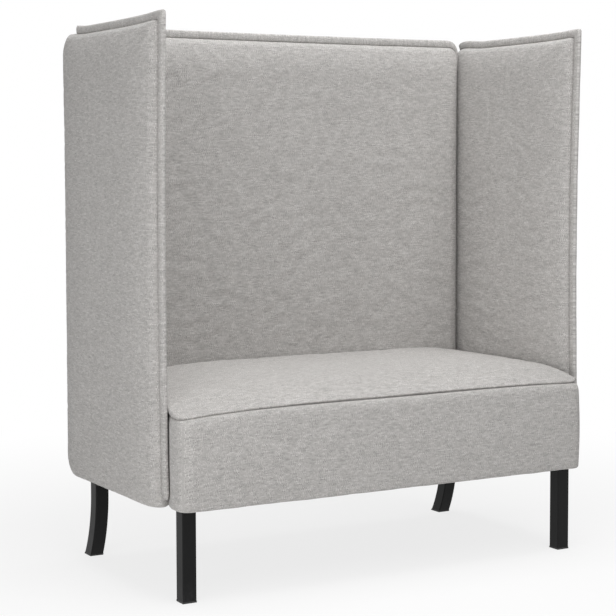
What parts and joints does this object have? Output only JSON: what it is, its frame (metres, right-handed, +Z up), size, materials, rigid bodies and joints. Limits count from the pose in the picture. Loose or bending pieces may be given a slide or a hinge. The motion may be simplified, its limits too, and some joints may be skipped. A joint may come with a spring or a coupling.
{
  "type": "high-back sofa",
  "caption": "Upholstered high-back sofa: crowned seat box between full-height padded side panels and a padded back with sewn flanges, on square steel legs.",
  "frame": {"origin": "on the floor under the middle of the sofa", "axes": "+Z up, +X to the right as seen from the front, front towards -Y"},
  "size_m": [1.2024, 0.624, 1.3],
  "materials": {
    "cover_fabric": "woven melange wool blend, matt",
    "foam": "open-cell polyurethane foam",
    "felt": "needled felt",
    "dust_cloth": "black non-woven",
    "frame_wood": "planed softwood",
    "fibreboard": "hard fibreboard",
    "black_steel": "satin black powder coat",
    "black_plastic": "moulded black plastic",
    "plain_steel": "zinc plated steel"
  },
  "bodies": {
    "root": {"back_panel_boards": "fibreboard", "back_panel_bottom_rail": "frame_wood", "back_panel_flange": "cover_fabric", "back_panel_inner_cover": "cover_fabric", "back_panel_inner_foam": "foam", "back_panel_left_stile": "frame_wood", "back_panel_mid_rail": "frame_wood", "back_panel_outer_cover": "cover_fabric", "back_panel_outer_foam": "foam", "back_panel_right_stile": "frame_wood", "back_panel_top_rail": "frame_wood", "bolt_spacers": "plain_steel", "bolt_washers": "plain_steel", "corner_pins": "plain_steel", "dust_cover": "dust_cloth", "front_glides": "black_plastic", "front_leg_left": "black_steel", "front_leg_right": "black_steel", "left_panel_boards": "fibreboard", "left_panel_bottom_rail": "frame_wood", "left_panel_flange": "cover_fabric", "left_panel_front_stile": "frame_wood", "left_panel_inner_cover": "cover_fabric", "left_panel_inner_foam": "foam", "left_panel_mid_rail": "frame_wood", "left_panel_outer_cover": "cover_fabric", "left_panel_outer_foam": "foam", "left_panel_rear_stile": "frame_wood", "left_panel_top_rail": "frame_wood", "leg_screws": "plain_steel", "panel_bolts": "plain_steel", "rear_glides": "black_plastic", "rear_leg_left": "black_steel", "rear_leg_right": "black_steel", "right_panel_boards": "fibreboard", "right_panel_bottom_rail": "frame_wood", "right_panel_flange": "cover_fabric", "right_panel_front_stile": "frame_wood", "right_panel_inner_cover": "cover_fabric", "right_panel_inner_foam": "foam", "right_panel_mid_rail": "frame_wood", "right_panel_outer_cover": "cover_fabric", "right_panel_outer_foam": "foam", "right_panel_rear_stile": "frame_wood", "right_panel_top_rail": "frame_wood", "seat_boxing": "cover_fabric", "seat_centre_rail": "frame_wood", "seat_corner_blocks": "frame_wood", "seat_foam": "foam", "seat_front_padding": "foam", "seat_front_rail": "frame_wood", "seat_left_rail": "frame_wood", "seat_rear_rail": "frame_wood", "seat_right_rail": "frame_wood", "seat_top_cover": "cover_fabric", "spring_clips": "black_plastic", "spring_insulator": "felt", "tee_nuts": "plain_steel", "zigzag_springs": "plain_steel"}
  },
  "joints": []
}
